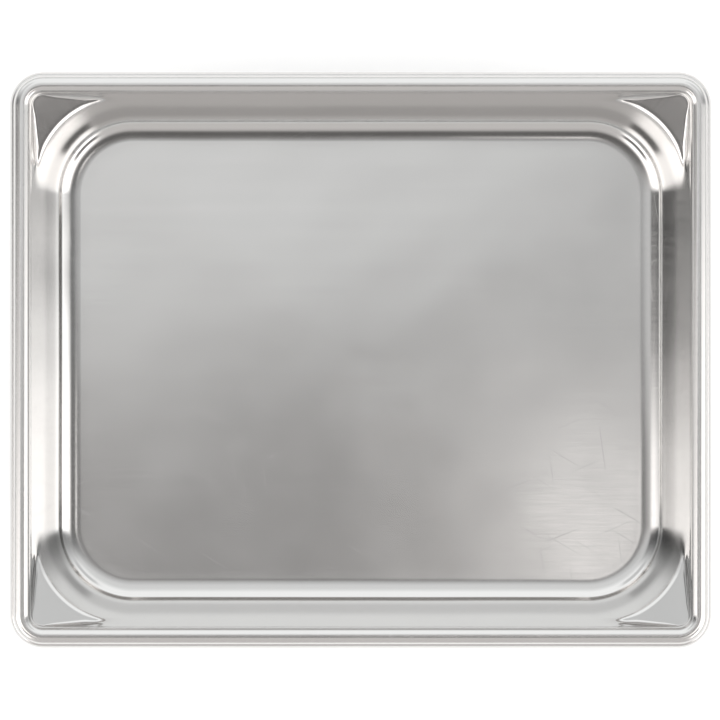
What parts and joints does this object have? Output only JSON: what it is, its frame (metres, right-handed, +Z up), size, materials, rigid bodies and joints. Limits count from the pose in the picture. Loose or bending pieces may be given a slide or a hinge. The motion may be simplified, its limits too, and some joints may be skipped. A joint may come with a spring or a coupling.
{
  "type": "food pan",
  "caption": "Rectangular drawn stainless food pan with tapered walls, a rounded bottom edge, a turned-down flange and a sloping triangular facet in each corner.",
  "frame": {"origin": "centre of the flat underside of the bottom", "axes": "+X along the long side, +Y along the short side, +Z up through the open mouth"},
  "size_m": [0.324, 0.266, 0.065],
  "materials": {
    "pan_body": "drawn stainless steel, satin bottom and brighter walls and flange"
  },
  "bodies": {
    "root": {"pan_body": "pan_body"}
  },
  "joints": []
}
